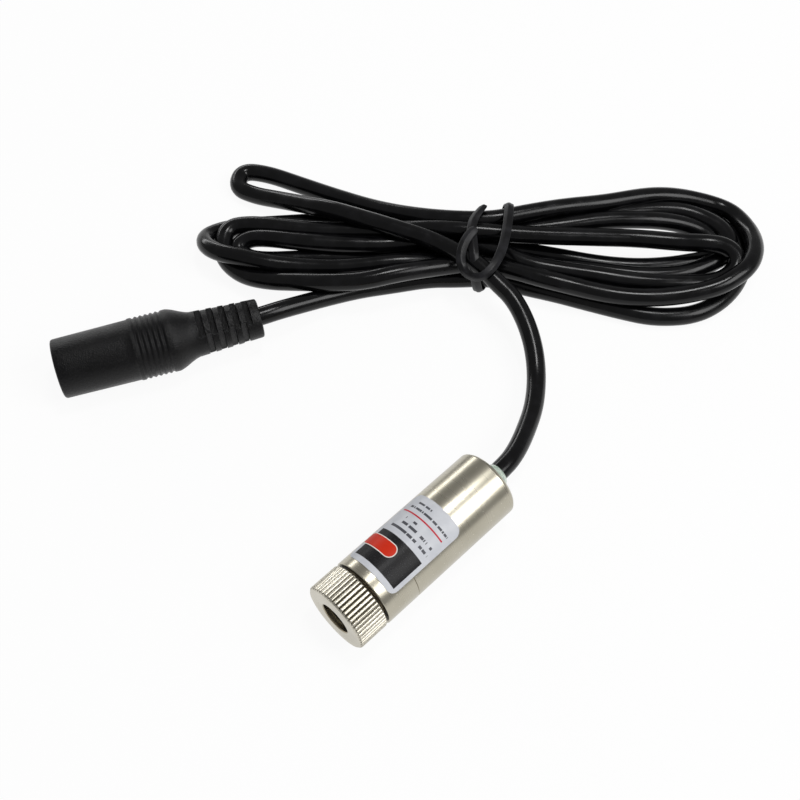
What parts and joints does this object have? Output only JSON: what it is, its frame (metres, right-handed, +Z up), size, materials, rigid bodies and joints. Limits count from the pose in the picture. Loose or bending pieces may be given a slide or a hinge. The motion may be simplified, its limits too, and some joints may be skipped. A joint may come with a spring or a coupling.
{
  "type": "laser diode module",
  "caption": "metal barrel laser diode module with knurled focusing cap, cable in a tied hank and inline power socket",
  "frame": {"origin": "on the surface the barrel lies on, under the middle of the barrel with its cap", "axes": "+Z up, +Y along the barrel from the cap to the cable end, +X to the barrel's right"},
  "size_m": [0.0891, 0.1176, 0.0121],
  "materials": {
    "nickel": "nickel plated brass, satin",
    "brass": "turned brass",
    "gold": "gold plated",
    "lens": "polished clear",
    "board": "solder mask over glass fibre",
    "chip": "moulded epoxy",
    "resistor": "glazed ceramic",
    "capacitor": "ceramic",
    "trimmer": "moulded with a metal rotor",
    "red_core": "soft vinyl",
    "black_core": "soft vinyl",
    "glue": "clear set glue",
    "film": "printed film",
    "vinyl": "smooth black vinyl",
    "tie": "vinyl coated wire",
    "moulding": "fine grained black vinyl",
    "housing": "hard black insulator",
    "contact": "nickel plated"
  },
  "bodies": {
    "module": {"front_head": "nickel", "rear_tube": "nickel", "diode_header": "gold", "diode_can": "gold", "diode_window": "lens", "diode_submount": "gold", "diode_leads": "gold", "driver_board": "board", "driver_chip": "chip", "driver_transistor": "chip", "driver_resistors": "resistor", "driver_capacitor": "capacitor", "power_trimmer": "trimmer", "positive_core": "red_core", "negative_core": "black_core", "glue_plug": "glue", "label": "film", "cable_lead": "vinyl", "cable_hank": "vinyl", "cable_tail": "vinyl", "twist_tie": "tie", "jack_overmould": "moulding", "jack_housing": "housing", "jack_centre_pin": "contact", "jack_sleeve_contact": "contact"},
    "lens_carrier": {"collimating_lens": "lens"},
    "cap": {"focus_cap": "nickel", "lens_retainer": "brass"}
  },
  "joints": [
    {"name": "focus_travel", "type": "slide", "parent": "module", "child": "lens_carrier", "axis": [0, 1, 0], "range_m": [-0.001, 0.00025]},
    {"name": "focus_turn", "type": "hinge", "parent": "lens_carrier", "child": "cap", "pos_m": [0, -0.01505, 0.006], "axis": [0, 1, 0], "range_deg": [-720, 180]}
  ],
  "couplings": [
    {"joint": "focus_turn", "follows": "focus_travel", "rad_per_m": 12566}
  ]
}
